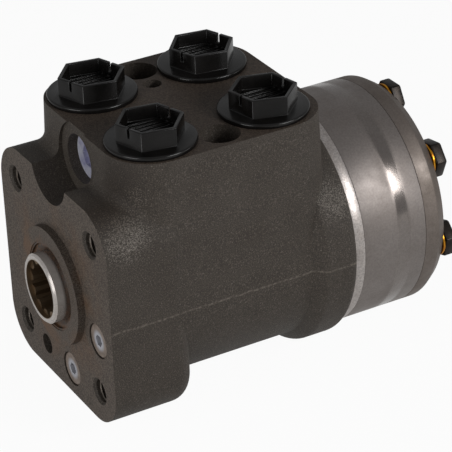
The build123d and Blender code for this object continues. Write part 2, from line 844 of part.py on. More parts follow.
with BuildPart() as gear_rim:
    with BuildSketch(across(rim_front)):
        Circle(ring_radius)
        Circle(valley_radius, mode=Mode.SUBTRACT)
        with PolarLocations(lobe_circle, lobe_count, start_angle=first_lobe):
            Circle(lobe_radius)
        with PolarLocations(screw_circle, lobe_count, start_angle=first_lobe):
            Circle(screw_hole_radius, mode=Mode.SUBTRACT)
    extrude(amount=gear_width)
    for face_x, depth in ((rim_front, o_ring_groove_depth), (cover_front, -o_ring_groove_depth)):
        with BuildSketch(across(face_x)):
            Circle(o_ring_circle + o_ring_groove)
            Circle(o_ring_circle - o_ring_groove, mode=Mode.SUBTRACT)
        extrude(amount=depth, mode=Mode.SUBTRACT)
pieces["gear_rim"] = gear_rim

with BuildPart() as rotor:
    with BuildSketch(rotor_plane.offset(gear_side_clearance - gear_width / 2)):
        with BuildLine():
            Spline(*rotor_outline(), periodic=True)
        make_face()
        Circle(shaft_spline_root + spline_radial_clearance, mode=Mode.SUBTRACT)
        with PolarLocations(0, shaft_spline_teeth):
            Polygon(
                *tooth(
                    shaft_spline_root - tooth_root_overlap,
                    shaft_spline_tip + spline_radial_clearance,
                    shaft_tooth_root_width + 2 * spline_flank_clearance,
                    shaft_tooth_tip_width + 2 * spline_flank_clearance,
                ),
                align=None,
                mode=Mode.SUBTRACT,
            )
    extrude(amount=gear_width - 2 * gear_side_clearance)
pieces["rotor"] = rotor

with BuildPart() as spacer:
    spacer_front = gear_width / 2 - spacer_thickness - axial_clearance
    with BuildSketch(rotor_plane.offset(spacer_front)):
        Circle(shaft_spline_root + spline_radial_clearance - spacer_clearance)
    extrude(amount=spacer_thickness)
    chamfer(spacer.edges(), length=spacer_chamfer)
pieces["spacer"] = spacer

with BuildPart() as end_cover:
    with BuildSketch(Plane.XZ):
        with BuildLine():
            Polyline(
                (cover_front, 0),
                (cover_front, ring_radius),
                (cover_rear - cover_bevel_length, ring_radius),
                (cover_rear, ring_radius - cover_bevel_depth),
                (cover_rear, 0),
                close=True,
            )
        make_face()
        fillet(vertices().group_by(Axis.Y)[-1].sort_by(Axis.X)[-1], radius=cover_round)
        fillet(vertices().sort_by(Axis.X)[-2:].sort_by(Axis.Y)[-1], radius=cover_round)
    revolve(axis=Axis.X)
    with BuildSketch(across(cover_front)):
        with PolarLocations(screw_circle, lobe_count, start_angle=first_lobe):
            Circle(screw_hole_radius)
    extrude(amount=cover_thickness, mode=Mode.SUBTRACT)
pieces["end_cover"] = end_cover

# O-rings, each in its groove: housing to plate, plate to rim, rim to cover
o_ring_places = {
    "plate_o_ring": plate_front - o_ring_groove,
    "rim_o_ring": rim_front + o_ring_groove,
    "cover_o_ring": cover_front - o_ring_groove,
}
for name, middle in o_ring_places.items():
    with BuildPart() as o_ring:
        with BuildSketch(Plane.XZ):
            with Locations((middle, o_ring_circle)):
                Circle(o_ring_section)
        revolve(axis=Axis.X)
    pieces[name] = o_ring

# ---------------------------------------------------------------------------
# Cover screws and washers
# ---------------------------------------------------------------------------

washer_rear = cover_rear + washer_thickness
screw_angles = [first_lobe + index * lobe_step for index in range(lobe_count)]
screw_sets = {
    "cover_screws": [a for i, a in enumerate(screw_angles) if i != special_index],
    "special_screw": [screw_angles[special_index]],
}
for name, angles in screw_sets.items():
    with BuildPart() as screws:
        places = [
            (screw_circle * cos(radians(angle)), screw_circle * sin(radians(angle)))
            for angle in angles
        ]
        with BuildSketch(across(washer_rear)):
            with Locations(*places):
                RegularPolygon(
                    screw_head_flats / 2,
                    hexagon_sides,
                    major_radius=False,
                    rotation=screw_head_turn,
                )
        extrude(amount=screw_head_height)
        with BuildSketch(across(washer_rear + screw_head_height)):
            with Locations(*places):
                Circle(screw_head_flats / 2 + screw_head_crown)
        extrude(amount=-screw_head_height, taper=-screw_crown_angle, mode=Mode.INTERSECT)
        with BuildSketch(across(washer_rear)):
            with Locations(*places):
                Circle(screw_radius)
        extrude(amount=body_length - screw_reach - washer_rear)
        chamfer(screws.faces().filter_by(Axis.X).group_by(Axis.X)[0].edges(), length=screw_tip_chamfer)
        if name == "special_screw":
            with BuildSketch(across(body_length - screw_reach)):
                with Locations(*places):
                    Circle(screw_radius / 2)
            extrude(amount=-special_spigot_length)
    pieces[name] = screws

with BuildPart() as screw_washers:
    with BuildSketch(across(cover_rear)):
        with PolarLocations(screw_circle, lobe_count, start_angle=first_lobe):
            Circle(washer_radius)
            Circle(screw_hole_radius, mode=Mode.SUBTRACT)
    extrude(amount=washer_thickness)
pieces["screw_washers"] = screw_washers

# ---------------------------------------------------------------------------
# Relief valve
# ---------------------------------------------------------------------------

with BuildPart() as relief_plug:
    with BuildSketch(valve_plane(relief_plug_front, relief_y, relief_z)):
        Circle(relief_plug_radius)
    extrude(amount=relief_plug_length)
    chamfer(relief_plug.edges(), length=plug_chamfer)
    with BuildSketch(valve_plane(relief_plug_front, relief_y, relief_z)):
        RegularPolygon(relief_plug_socket / 2, hexagon_sides, major_radius=False)
    extrude(amount=relief_plug_socket_depth, mode=Mode.SUBTRACT)
pieces["relief_plug"] = relief_plug

with BuildPart() as relief_seal:
    with BuildSketch(valve_plane(relief_plug_rear, relief_y, relief_z)):
        Circle(relief_plug_radius - relief_seal_margin)
        Circle(relief_bore_radius + relief_seal_margin, mode=Mode.SUBTRACT)
    extrude(amount=relief_seal_thickness)
pieces["relief_seal"] = relief_seal

with BuildPart() as relief_setting_screw:
    with BuildSketch(valve_plane(relief_screw_front, relief_y, relief_z)):
        Circle(relief_bore_radius)
        RegularPolygon(relief_plug_socket / 4, hexagon_sides, major_radius=False, mode=Mode.SUBTRACT)
    extrude(amount=relief_screw_length)
pieces["relief_setting_screw"] = relief_setting_screw

with BuildPart() as relief_poppet:
    poppet_axis = Axis((0, relief_y, relief_z), (1, 0, 0))
    with BuildSketch(Plane(origin=poppet_axis.position, x_dir=(1, 0, 0), z_dir=(0, -1, 0))):
        with BuildLine():
            Polyline(
                (poppet_front - poppet_spigot_length, 0),
                (poppet_front - poppet_spigot_length, poppet_spigot_radius),
                (poppet_front, poppet_spigot_radius),
                (poppet_front, relief_bore_radius),
                (poppet_rear - poppet_cone_length, relief_bore_radius),
                (poppet_rear, relief_seat_radius + poppet_seat_margin),
                (poppet_rear, 0),
                close=True,
            )
        make_face()
    revolve(axis=poppet_axis)
pieces["relief_poppet"] = relief_poppet

with BuildPart() as relief_spring:
    spring_front = relief_screw_rear + relief_spring_wire
    spring_length = poppet_front - relief_screw_rear - 2 * relief_spring_wire
    with BuildLine():
        coil = Helix(
            pitch=relief_spring_pitch,
            height=spring_length,
            radius=relief_spring_radius,
            center=(spring_front, relief_y, relief_z),
            direction=(1, 0, 0),
        )
    with BuildSketch(Plane(origin=coil @ 0, z_dir=coil % 0)):
        Rectangle(relief_spring_wire, relief_spring_wire)
    sweep(path=coil, is_frenet=True)
pieces["relief_spring"] = relief_spring

# ---------------------------------------------------------------------------
# Shock valves
# ---------------------------------------------------------------------------

with BuildPart() as shock_valve_plugs:
    for y, z in shock_axes.values():
        with BuildSketch(valve_plane(shock_plug_setback, y, z)):
            Circle(shock_plug_radius)
        extrude(amount=shock_plug_length)
    chamfer(shock_valve_plugs.edges(), length=plug_chamfer)
    for y, z in shock_axes.values():
        with BuildSketch(valve_plane(shock_plug_setback, y, z)):
            RegularPolygon(shock_plug_socket / 2, hexagon_sides, major_radius=False)
        extrude(amount=shock_plug_socket_depth, mode=Mode.SUBTRACT)
pieces["shock_valve_plugs"] = shock_valve_plugs

seat_contact = (shock_ball_radius**2 - shock_seat_radius**2) ** 0.5
spring_contact = (shock_ball_radius**2 - shock_spring_radius**2) ** 0.5
shock_ball_x = shock_seat_x - seat_contact - valve_clearance
for name, (y, z) in shock_axes.items():
    with BuildPart() as shock_ball:
        with Locations((shock_ball_x, y, z)):
            Sphere(shock_ball_radius)
    pieces[f"shock_valve_ball_{name}"] = shock_ball

coil_front = shock_plug_rear + shock_spring_wire
coil_length = shock_ball_x - spring_contact - 2 * shock_spring_wire - coil_front
for name, (y, z) in shock_axes.items():
    with BuildPart() as shock_spring:
        with BuildLine():
            coil = Helix(
                pitch=shock_spring_pitch,
                height=coil_length,
                radius=shock_spring_radius,
                center=(coil_front, y, z),
                direction=(1, 0, 0),
            )
        with BuildSketch(Plane(origin=coil @ 0, z_dir=coil % 0)):
            Rectangle(shock_spring_wire, shock_spring_wire)
        sweep(path=coil, is_frenet=True)
    pieces[f"shock_valve_spring_{name}"] = shock_spring

# ---------------------------------------------------------------------------
# Check valve under the pump port
# ---------------------------------------------------------------------------

with BuildPart() as check_valve_bushing:
    with BuildSketch(Plane(origin=(*port_places["p"], port_floor))):
        Circle(check_bore_radius - thread_clearance)
        Circle(check_bushing_bore, mode=Mode.SUBTRACT)
    extrude(amount=-check_bushing_length)
pieces["check_valve_bushing"] = check_valve_bushing

with BuildPart() as check_valve_ball:
    rest_height = (check_ball_radius**2 - check_seat_radius**2) ** 0.5
    with Locations((*port_places["p"], check_floor + rest_height + valve_clearance)):
        Sphere(check_ball_radius)
pieces["check_valve_ball"] = check_valve_ball

# ---------------------------------------------------------------------------
# Port caps
# ---------------------------------------------------------------------------

for name, (x, y) in port_places.items():
    with BuildPart() as cap:
        disc_plane = Plane(origin=(x, y, port_face_height))
        rim_height = cap_disc_thickness + cap_hex_height
        floor_height = rim_height - cap_floor_drop
        hollow_flats = cap_hex_flats - 2 * cap_wall
        # Disc, hollow hexagon and the skirt that goes into the port
        with BuildSketch(disc_plane):
            Circle(cap_disc_radius)
        extrude(amount=cap_disc_thickness)
        chamfer(cap.faces().sort_by(Axis.Z)[-1].edges(), length=cap_disc_chamfer)
        with BuildSketch(disc_plane):
            RegularPolygon(cap_hex_flats / 2, hexagon_sides, major_radius=False, rotation=cap_turn[name])
        extrude(amount=rim_height)
        with BuildSketch(disc_plane):
            Circle(cap_skirt_radius)
        extrude(amount=-cap_skirt_length)
        with BuildSketch(disc_plane.offset(floor_height)):
            RegularPolygon(hollow_flats / 2, hexagon_sides, major_radius=False, rotation=cap_turn[name])
        extrude(amount=cap_floor_drop, mode=Mode.SUBTRACT)
        with BuildSketch(disc_plane.offset(-cap_skirt_length)):
            Circle(cap_skirt_radius - cap_skirt_wall)
        extrude(amount=cap_skirt_length + floor_height - cap_wall, mode=Mode.SUBTRACT)
        # Two slots across the hexagon's rim, in the middle of opposite flats
        flat_turn = cap_turn[name] - 180 / hexagon_sides
        with BuildSketch(disc_plane.offset(rim_height)):
            Rectangle(2 * cap_hex_flats, cap_slot_width, rotation=flat_turn)
        extrude(amount=-cap_slot_depth, mode=Mode.SUBTRACT)
        # Ribs across the floor
        with BuildSketch(disc_plane.offset(floor_height)):
            with GridLocations(0, cap_rib_pitch, 1, cap_rib_count):
                Rectangle(hollow_flats, cap_rib_width)
            RegularPolygon(
                hollow_flats / 2 - cap_rib_setback,
                hexagon_sides,
                major_radius=False,
                rotation=cap_turn[name],
                mode=Mode.INTERSECT,
            )
        extrude(amount=cap_rib_height)
    pieces[f"port_cap_{name}"] = cap

# ---------------------------------------------------------------------------
# One STEP file for each piece
# ---------------------------------------------------------------------------

os.makedirs("parts", exist_ok=True)
for name, piece in pieces.items():
    piece.part.label = name
    export_step(piece.part, f"parts/{name}.step")
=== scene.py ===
# %% [markdown]
# # An orbital steering unit
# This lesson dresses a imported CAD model: it gives each piece of the steering unit its real
# finish, adds the small parts that are easier to model in Blender, and lights it in a plain studio.
# The CAD model loads as a fixed frame, and everything is in metres in that frame:
# X runs along the shaft from the column flange to the end cover, and Z points up to the ports.

import json
import math

import bpy
from mathutils import Matrix, Vector


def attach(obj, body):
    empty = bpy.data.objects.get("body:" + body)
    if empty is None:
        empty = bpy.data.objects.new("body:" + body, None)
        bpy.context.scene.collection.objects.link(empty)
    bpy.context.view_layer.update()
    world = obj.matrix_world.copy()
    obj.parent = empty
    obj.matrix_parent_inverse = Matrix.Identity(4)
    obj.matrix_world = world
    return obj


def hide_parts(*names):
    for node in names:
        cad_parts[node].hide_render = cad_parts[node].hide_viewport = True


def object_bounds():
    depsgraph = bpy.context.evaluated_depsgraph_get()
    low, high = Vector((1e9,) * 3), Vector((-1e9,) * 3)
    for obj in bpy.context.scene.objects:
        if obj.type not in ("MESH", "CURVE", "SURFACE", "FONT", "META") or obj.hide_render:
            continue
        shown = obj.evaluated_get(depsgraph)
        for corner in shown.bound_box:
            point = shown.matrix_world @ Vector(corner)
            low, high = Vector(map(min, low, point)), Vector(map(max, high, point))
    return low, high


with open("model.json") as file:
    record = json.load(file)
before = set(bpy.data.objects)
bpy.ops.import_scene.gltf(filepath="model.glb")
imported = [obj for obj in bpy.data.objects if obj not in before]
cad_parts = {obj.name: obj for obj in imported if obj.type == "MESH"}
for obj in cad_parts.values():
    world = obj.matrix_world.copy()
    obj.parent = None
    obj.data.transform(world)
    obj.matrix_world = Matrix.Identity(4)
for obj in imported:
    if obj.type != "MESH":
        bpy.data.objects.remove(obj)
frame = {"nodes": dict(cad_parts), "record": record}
cad_box = [[float(value) for value in corner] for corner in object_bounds()]
print("CAD box", cad_box)

# %% [markdown]
# ## The camera
# A long lens keeps the square flange nearly square, as product pictures do. The camera stands
# in front of the column flange, to the left of the shaft and above it, and leans two degrees.
# We build its three axes by hand, because that lean is easiest to give as a turned "right" axis.

# %% Camera
MM = 0.001


def place_camera(target, azimuth, elevation, roll, distance, field_px, image_px, centre_px):
    """A camera that sees target (in mm) at centre_px, with its focal length given in pixels."""
    turn, rise, lean = (math.radians(angle) for angle in (azimuth, elevation, roll))
    back = Vector((
        math.sin(turn) * math.cos(rise),
        -math.cos(turn) * math.cos(rise),
        math.sin(rise),
    ))
    right = Vector((math.cos(turn), math.sin(turn), 0))
    up = back.cross(right)
    leaning_right = math.cos(lean) * right + math.sin(lean) * up
    leaning_up = back.cross(leaning_right)
    data = bpy.data.cameras.new("product_camera")
    data.sensor_width = 36.0
    data.lens = data.sensor_width * field_px / image_px
    data.shift_x = (image_px / 2 - centre_px[0]) / image_px
    data.shift_y = (centre_px[1] - image_px / 2) / image_px
    camera = bpy.data.objects.new("product_camera", data)
    bpy.context.scene.collection.objects.link(camera)
    axes = Matrix((leaning_right, leaning_up, back)).transposed()
    camera.rotation_euler = axes.to_euler()
    camera.location = (Vector(target) + back * distance) * MM
    return camera


camera = place_camera(
    target=(75, 0, 0), azimuth=-28.98, elevation=28.85, roll=-2.084,
    distance=852.1, field_px=2328.9, image_px=452, centre_px=(241.49, 227.32),
)
bpy.context.scene.camera = camera
print("camera at", [round(value, 4) for value in camera.location], "lens", round(camera.data.lens, 1))

# %% [markdown]
# ## Floor, sky and lamps
# The floor and the sky are white where the camera sees them, weaker in reflections, and keep
# a plain level where they only light the object. Three soft boxes do the modelling. The key box
# stands where a mirror across the shaft would put the camera, so the gear rim reflects it as one
# long highlight. The second faces the column flange, and a weak one level with the shaft, behind
# the end cover, keeps the rear screws from going black.

# %% Colours
def linear(colour):
    """An sRGB hex colour as the linear RGBA that shader sockets expect."""
    channels = [int(colour[i:i + 2], 16) / 255 for i in (1, 3, 5)]
    curve = [c / 12.92 if c <= 0.04045 else ((c + 0.055) / 1.055) ** 2.4 for c in channels]
    return (*curve, 1.0)


def add_node(material, kind, settings=None, inputs=None):
    """Adds one node. An input that is a (node, output) pair becomes a link, others are values."""
    tree = material.node_tree
    node = tree.nodes.new(kind)
    for name, value in (settings or {}).items():
        setattr(node, name, value)
    for name, value in (inputs or {}).items():
        if isinstance(value, tuple) and isinstance(value[0], bpy.types.Node):
            tree.links.new(value[0].outputs[value[1]], node.inputs[name])
        else:
            node.inputs[name].default_value = value
    return node


print("white is", linear("#ffffff"))

# %% Floor
bpy.ops.object.select_all(action="DESELECT")
floor_height = min(corner[2] for corner in cad_box) - 0.0002
bpy.ops.mesh.primitive_plane_add(size=12, location=(0, 0, floor_height))
bpy.ops.object.transform_apply(location=True)
floor = bpy.context.object
floor.name = "studio_floor"

paper = bpy.data.materials.new("white_background_paper")
paper.use_nodes = True
paper.node_tree.nodes.clear()
ray = add_node(paper, "ShaderNodeLightPath")
matt = add_node(paper, "ShaderNodeBsdfDiffuse", inputs={"Color": linear("#e6e6e4")})
glow = add_node(paper, "ShaderNodeEmission", inputs={"Color": linear("#ffffff"), "Strength": 1.0})
seen_paper = add_node(
    paper, "ShaderNodeMath", {"operation": "MULTIPLY"}, {0: (ray, "Is Camera Ray"), 1: 0.95}
)
share = add_node(
    paper, "ShaderNodeMath", {"operation": "MULTIPLY_ADD", "use_clamp": True},
    {0: (ray, "Is Glossy Ray"), 1: 0.42, 2: (seen_paper, 0)},
)
blend = add_node(paper, "ShaderNodeMixShader", inputs={0: (share, 0), 1: (matt, 0), 2: (glow, 0)})
add_node(paper, "ShaderNodeOutputMaterial", inputs={"Surface": (blend, 0)})
floor.data.materials.append(paper)
print("floor at", round(floor_height, 4))

# %% Sky
sky = bpy.data.worlds.new("studio_sky")
sky.use_nodes = True
sky.node_tree.nodes.clear()
sky_ray = add_node(sky, "ShaderNodeLightPath")
seen = add_node(
    sky, "ShaderNodeMath", {"operation": "MAXIMUM"},
    {0: (sky_ray, "Is Camera Ray"), 1: (sky_ray, "Is Transmission Ray")},
)
seen_or_mirrored = add_node(
    sky, "ShaderNodeMath", {"operation": "MULTIPLY_ADD", "use_clamp": True},
    {0: (sky_ray, "Is Glossy Ray"), 1: 0.25, 2: (seen, 0)},
)
dim = add_node(sky, "ShaderNodeBackground", inputs={"Color": linear("#d8dadd"), "Strength": 0.18})
white = add_node(sky, "ShaderNodeBackground", inputs={"Color": linear("#ffffff"), "Strength": 1.0})
either = add_node(
    sky, "ShaderNodeMixShader", inputs={0: (seen_or_mirrored, 0), 1: (dim, 0), 2: (white, 0)}
)
add_node(sky, "ShaderNodeOutputWorld", inputs={"Surface": (either, 0)})
bpy.context.scene.world = sky
bpy.context.scene.view_settings.view_transform = "Standard"
print("sky set")


# %% Soft boxes
MIDDLE = Vector((0.07, 0, 0.01))    # m, the point that all lamps face


def soft_box(name, direction, distance, width, height, watts):
    """A rectangular lamp at distance metres along direction, facing the object's middle."""
    bpy.ops.object.light_add(type="AREA")
    lamp = bpy.context.object
    lamp.name = name
    lamp.data.shape = "RECTANGLE"
    lamp.data.size, lamp.data.size_y = width, height
    lamp.data.energy = watts
    lamp.location = MIDDLE + Vector(direction).normalized() * distance
    lamp.rotation_euler = (MIDDLE - lamp.location).to_track_quat("-Z", "Y").to_euler()
    print(name, "at", [round(value, 2) for value in lamp.location])


soft_box("key_box", (0.42, -0.785, 0.45), 1.1, 0.50, 0.36, 5.8)
soft_box("flange_box", (-0.95, -0.28, 0.20), 1.1, 0.60, 0.60, 4.7)
soft_box("rear_box", (0.85, -0.45, -0.02), 1.2, 0.30, 0.30, 1.0)

# %% [markdown]
# ## Sand-cast grey iron
# The housing is cast in green sand, blasted and dipped in oil. Up close it is a dark warm grey
# with a fine even sand grain, and darker and browner round one place on the neck. In three places
# it is lighter: partly where handling has rubbed the tops of the grains, and partly as a painted
# highlight where the grain catches the light. The column face and the port face are machined: the
# grain is nearly flat there and stays as a fine mottle of colour, and the port face is darkened as
# painted shade. One material does all of it, with masks made from the place on the part, because
# the casting is one piece of metal.

# %% Helpers for materials
def start_material(name, base, metallic, roughness):
    """A material with one Principled shader, and its shader and Object coordinates."""
    material = bpy.data.materials.new(name)
    material.use_nodes = True
    shader = material.node_tree.nodes["Principled BSDF"]
    shader.inputs["Base Color"].default_value = linear(base)
    shader.inputs["Metallic"].default_value = metallic
    shader.inputs["Roughness"].default_value = roughness
    place = add_node(material, "ShaderNodeTexCoord")
    return material, shader, (place, "Object")


def link(material, node, output, shader, name):
    """Joins a node's output to the shader's named input."""
    material.node_tree.links.new(node.outputs[output], shader.inputs[name])


def grain(size_mm):
    """The noise scale whose grains are about size_mm across, on Object coordinates in metres."""
    return 1000 / size_mm


print("a 0.5 mm grain needs a noise scale of", grain(0.5))

# %% Sand-cast grey iron
SAND_GRAIN = 0.42      # mm, a little coarser than the real 0.3 mm so that it shows
OIL_PATCH = 14.0       # mm
WEAR_AND_SHEEN_PATCH = 9.0       # mm
COLUMN_FACE = 0.00002  # m along the shaft: the machined face and all before it
PORT_FACE = 0.05748    # m above the shaft: the machined face and all above it
NECK = (0.004, -0.034, 0.050)    # m, a place on the neck between flange and port block, round which the casting is darker and browner
casting, casting_shader, casting_place = start_material("sand_cast_grey_iron", "#3c3731", 0.0, 0.62)
casting_shader.inputs["Specular IOR Level"].default_value = 0.35

# The noise has less contrast on planes where one of its coordinates is a whole number, and the
# column face lies on such a plane, so the grain is read a fraction of a grain away.
off_lattice = add_node(
    casting, "ShaderNodeVectorMath", {"operation": "ADD"},
    {0: casting_place, 1: (0.00021, 0.00017, 0.00023)},
)
sand = add_node(
    casting, "ShaderNodeTexNoise",
    inputs={"Vector": (off_lattice, 0), "Scale": grain(SAND_GRAIN), "Detail": 3.0, "Roughness": 0.6},
)
patches = add_node(
    casting, "ShaderNodeTexNoise",
    inputs={"Vector": casting_place, "Scale": grain(OIL_PATCH), "Detail": 4.0, "Roughness": 0.55},
)
oiled = add_node(
    casting, "ShaderNodeMix", {"data_type": "RGBA"},
    {"Factor": (patches, 0), 6: linear("#3b332b"), 7: linear("#4f4841")},
)
RUBBED_AND_LIT_PLACES = {    # place and reach in m, where the grain is lighter: rubbed by hands, and partly a painted highlight
    "shoulder": ((0.009, -0.040, 0.034), 0.013),
    "shoulder_top": ((0.013, -0.037, 0.045), 0.008),
    "rear": ((0.0925, -0.038, 0.024), 0.013),
}
zones = []
for zone_place, reach in RUBBED_AND_LIT_PLACES.values():
    away = add_node(
        casting, "ShaderNodeVectorMath", {"operation": "DISTANCE"}, {0: casting_place, 1: zone_place}
    )
    zones.append(add_node(
        casting, "ShaderNodeMapRange", {"interpolation_type": "SMOOTHSTEP"},
        {"Value": (away, "Value"), "From Min": reach, "From Max": reach * 0.3},
    ))
rubbed_and_lit = zones[0]
for zone in zones[1:]:
    rubbed_and_lit = add_node(
        casting, "ShaderNodeMath", {"operation": "MAXIMUM"}, {0: (rubbed_and_lit, 0), 1: (zone, 0)}
    )
uneven_wear_and_sheen = add_node(
    casting, "ShaderNodeTexNoise",
    inputs={"Vector": casting_place, "Scale": grain(WEAR_AND_SHEEN_PATCH), "Detail": 2.0},
)
wear_and_sheen_share = add_node(
    casting, "ShaderNodeMapRange",
    inputs={"Value": (uneven_wear_and_sheen, 0), "From Min": 0.30, "From Max": 0.60, "To Min": 0.35},
)
uneven_rub_and_sheen = add_node(
    casting, "ShaderNodeMath", {"operation": "MULTIPLY"}, {0: (rubbed_and_lit, 0), 1: (wear_and_sheen_share, 0)}
)
threshold = add_node(
    casting, "ShaderNodeMath", {"operation": "MULTIPLY_ADD"}, {0: (uneven_rub_and_sheen, 0), 1: -0.15, 2: 0.58}
)
above = add_node(
    casting, "ShaderNodeMath", {"operation": "SUBTRACT"}, {0: (sand, 0), 1: (threshold, 0)}
)
rub_and_sheen_share = add_node(
    casting, "ShaderNodeMapRange", inputs={"Value": (above, 0), "From Min": 0.0, "From Max": 0.30}
)
pits = add_node(
    casting, "ShaderNodeMapRange", inputs={"Value": (sand, 0), "From Min": 0.36, "From Max": 0.60}
)
pitted = add_node(
    casting, "ShaderNodeMix", {"data_type": "RGBA", "blend_type": "MULTIPLY"},
    {"Factor": 0.55, 6: (oiled, 2), 7: (pits, 0)},
)
# In these places the grain's lighter colour is partly rubbed metal and partly a painted highlight.
sanded = add_node(
    casting, "ShaderNodeMix", {"data_type": "RGBA"},
    {"Factor": (rub_and_sheen_share, 0), 6: (pitted, 2), 7: linear("#8f8880")},
)

split = add_node(casting, "ShaderNodeSeparateXYZ", inputs={0: casting_place})
column_side = add_node(
    casting, "ShaderNodeMath", {"operation": "LESS_THAN"}, {0: (split, 0), 1: COLUMN_FACE}
)
port_side = add_node(
    casting, "ShaderNodeMath", {"operation": "GREATER_THAN"}, {0: (split, 2), 1: PORT_FACE}
)
machined = add_node(
    casting, "ShaderNodeMath", {"operation": "MAXIMUM"}, {0: (column_side, 0), 1: (port_side, 0)}
)
fine_scratches = add_node(
    casting, "ShaderNodeTexNoise",
    inputs={"Vector": casting_place, "Scale": grain(1.2), "Detail": 5.0, "Roughness": 0.7},
)
neck = add_node(
    casting, "ShaderNodeVectorMath", {"operation": "DISTANCE"},
    {0: casting_place, 1: NECK},
)
darker_brown_at_neck = add_node(
    casting, "ShaderNodeMapRange", {"interpolation_type": "SMOOTHSTEP"},
    {"Value": (neck, "Value"), "From Min": 0.020, "From Max": 0.006, "To Min": 0.0, "To Max": 0.75},
)
sand_darker_at_neck = add_node(
    casting, "ShaderNodeMix", {"data_type": "RGBA", "blend_type": "MULTIPLY"},
    {"Factor": (darker_brown_at_neck, 0), 6: (sanded, 2), 7: linear("#96806a")},
)
sand_spread = add_node(
    casting, "ShaderNodeMapRange", inputs={"Value": (sand, 0), "From Min": 0.40, "From Max": 0.62}
)
machined_colour = add_node(
    casting, "ShaderNodeMix", {"data_type": "RGBA"},
    {"Factor": (sand_spread, 0), 6: linear("#352c25"), 7: linear("#665c53")},
)
# Painted shade: the machined port face is multiplied darker than the column face.
port_face_painted_shade = add_node(
    casting, "ShaderNodeMix", {"data_type": "RGBA", "blend_type": "MULTIPLY"},
    {"Factor": (port_side, 0), 6: (machined_colour, 2), 7: linear("#cfc8c2")},
)
casting_colour = add_node(
    casting, "ShaderNodeMix", {"data_type": "RGBA"},
    {"Factor": (machined, 0), 6: (sand_darker_at_neck, 2), 7: (port_face_painted_shade, 2)},
)
print("handled places:", list(RUBBED_AND_LIT_PLACES))

# %% Parting line
PARTING_HALF_WIDTH = 0.0005    # m
PARTING_WANDER = 0.0014        # m, from its highest place to its lowest
BEHIND_FACE = 0.0004           # m, the machined column face has no parting line
wander = add_node(
    casting, "ShaderNodeTexNoise", inputs={"Vector": casting_place, "Scale": grain(5.0)}
)
wandering = add_node(
    casting, "ShaderNodeMath", {"operation": "MULTIPLY_ADD"},
    {0: (wander, 0), 1: PARTING_WANDER, 2: -PARTING_WANDER / 2},
)
line_height = add_node(
    casting, "ShaderNodeMath", {"operation": "ADD"}, {0: (split, 2), 1: (wandering, 0)}
)
off_line = add_node(casting, "ShaderNodeMath", {"operation": "ABSOLUTE"}, {0: (line_height, 0)})
on_line = add_node(
    casting, "ShaderNodeMapRange",
    inputs={
        "Value": (off_line, 0), "From Min": PARTING_HALF_WIDTH * 0.4,
        "From Max": PARTING_HALF_WIDTH, "To Min": 1.0, "To Max": 0.0,
    },
)
broken = add_node(
    casting, "ShaderNodeMapRange",
    inputs={"Value": (fine_scratches, 0), "From Min": 0.40, "From Max": 0.58},
)
flash = add_node(
    casting, "ShaderNodeMath", {"operation": "MULTIPLY"}, {0: (on_line, 0), 1: (broken, 0)}
)
cast_side = add_node(
    casting, "ShaderNodeMath", {"operation": "GREATER_THAN"}, {0: (split, 0), 1: BEHIND_FACE}
)
flash_outside = add_node(
    casting, "ShaderNodeMath", {"operation": "MULTIPLY"}, {0: (flash, 0), 1: (cast_side, 0)}
)
faint_flash = add_node(
    casting, "ShaderNodeMath", {"operation": "MULTIPLY"}, {0: (flash_outside, 0), 1: 0.36}
)
lined = add_node(
    casting, "ShaderNodeMix", {"data_type": "RGBA"},
    {"Factor": (faint_flash, 0), 6: (casting_colour, 2), 7: linear("#948b80")},
)
print("the parting line is", PARTING_HALF_WIDTH * 2000, "mm wide")

# %% Rust near the seal
shaft_distance = add_node(
    casting, "ShaderNodeCombineXYZ", inputs={1: (split, 1), 2: (split, 2)}
)
from_shaft = add_node(
    casting, "ShaderNodeVectorMath", {"operation": "LENGTH"}, {0: (shaft_distance, 0)}
)
near_seal = add_node(
    casting, "ShaderNodeMapRange",
    inputs={"Value": (from_shaft, "Value"), "From Min": 0.040, "From Max": 0.015},
)
rust_fleck = add_node(
    casting, "ShaderNodeMapRange",
    inputs={"Value": (patches, 0), "From Min": 0.44, "From Max": 0.66},
)
rust = add_node(
    casting, "ShaderNodeMath", {"operation": "MULTIPLY"}, {0: (near_seal, 0), 1: (rust_fleck, 0)}
)
rust_on_face = add_node(
    casting, "ShaderNodeMath", {"operation": "MULTIPLY"}, {0: (rust, 0), 1: (machined, 0)}
)
thin_rust = add_node(
    casting, "ShaderNodeMath", {"operation": "MULTIPLY"}, {0: (rust_on_face, 0), 1: 0.6}
)
rusted = add_node(
    casting, "ShaderNodeMix", {"data_type": "RGBA"},
    {"Factor": (thin_rust, 0), 6: (lined, 2), 7: linear("#6e4c2e")},
)
link(casting, rusted, 2, casting_shader, "Base Color")

left_rough = add_node(
    casting, "ShaderNodeMath", {"operation": "SUBTRACT"}, {0: 1.0, 1: (machined, 0)}
)
relief = add_node(
    casting, "ShaderNodeMath", {"operation": "MULTIPLY_ADD"}, {0: (left_rough, 0), 1: 0.85, 2: 0.1}
)
casting_bump = add_node(
    casting, "ShaderNodeBump",
    inputs={"Strength": (relief, 0), "Distance": 0.00025, "Height": (sand, 0)},
)
link(casting, casting_bump, "Normal", casting_shader, "Normal")
print("casting material has", len(casting.node_tree.nodes), "nodes")

# %% [markdown]
# ## Which body carries which piece
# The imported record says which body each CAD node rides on. We turn that list round once, so that
# every copy or addition below can ask for the body of the node it belongs to.

# %% Bodies and finishes
body_of = {
    node: body for body, nodes in frame["record"]["behaviour"]["bodies"].items() for node in nodes
}


def finish(material, *names):
    """Gives one material to CAD nodes."""
    for name in names:
        slots = frame["nodes"][name].data.materials
        slots.clear()
        slots.append(material)
        finished.add(name)


finished = set()
finish(casting, "housing")
print("the rotor rides on", body_of["rotor"])

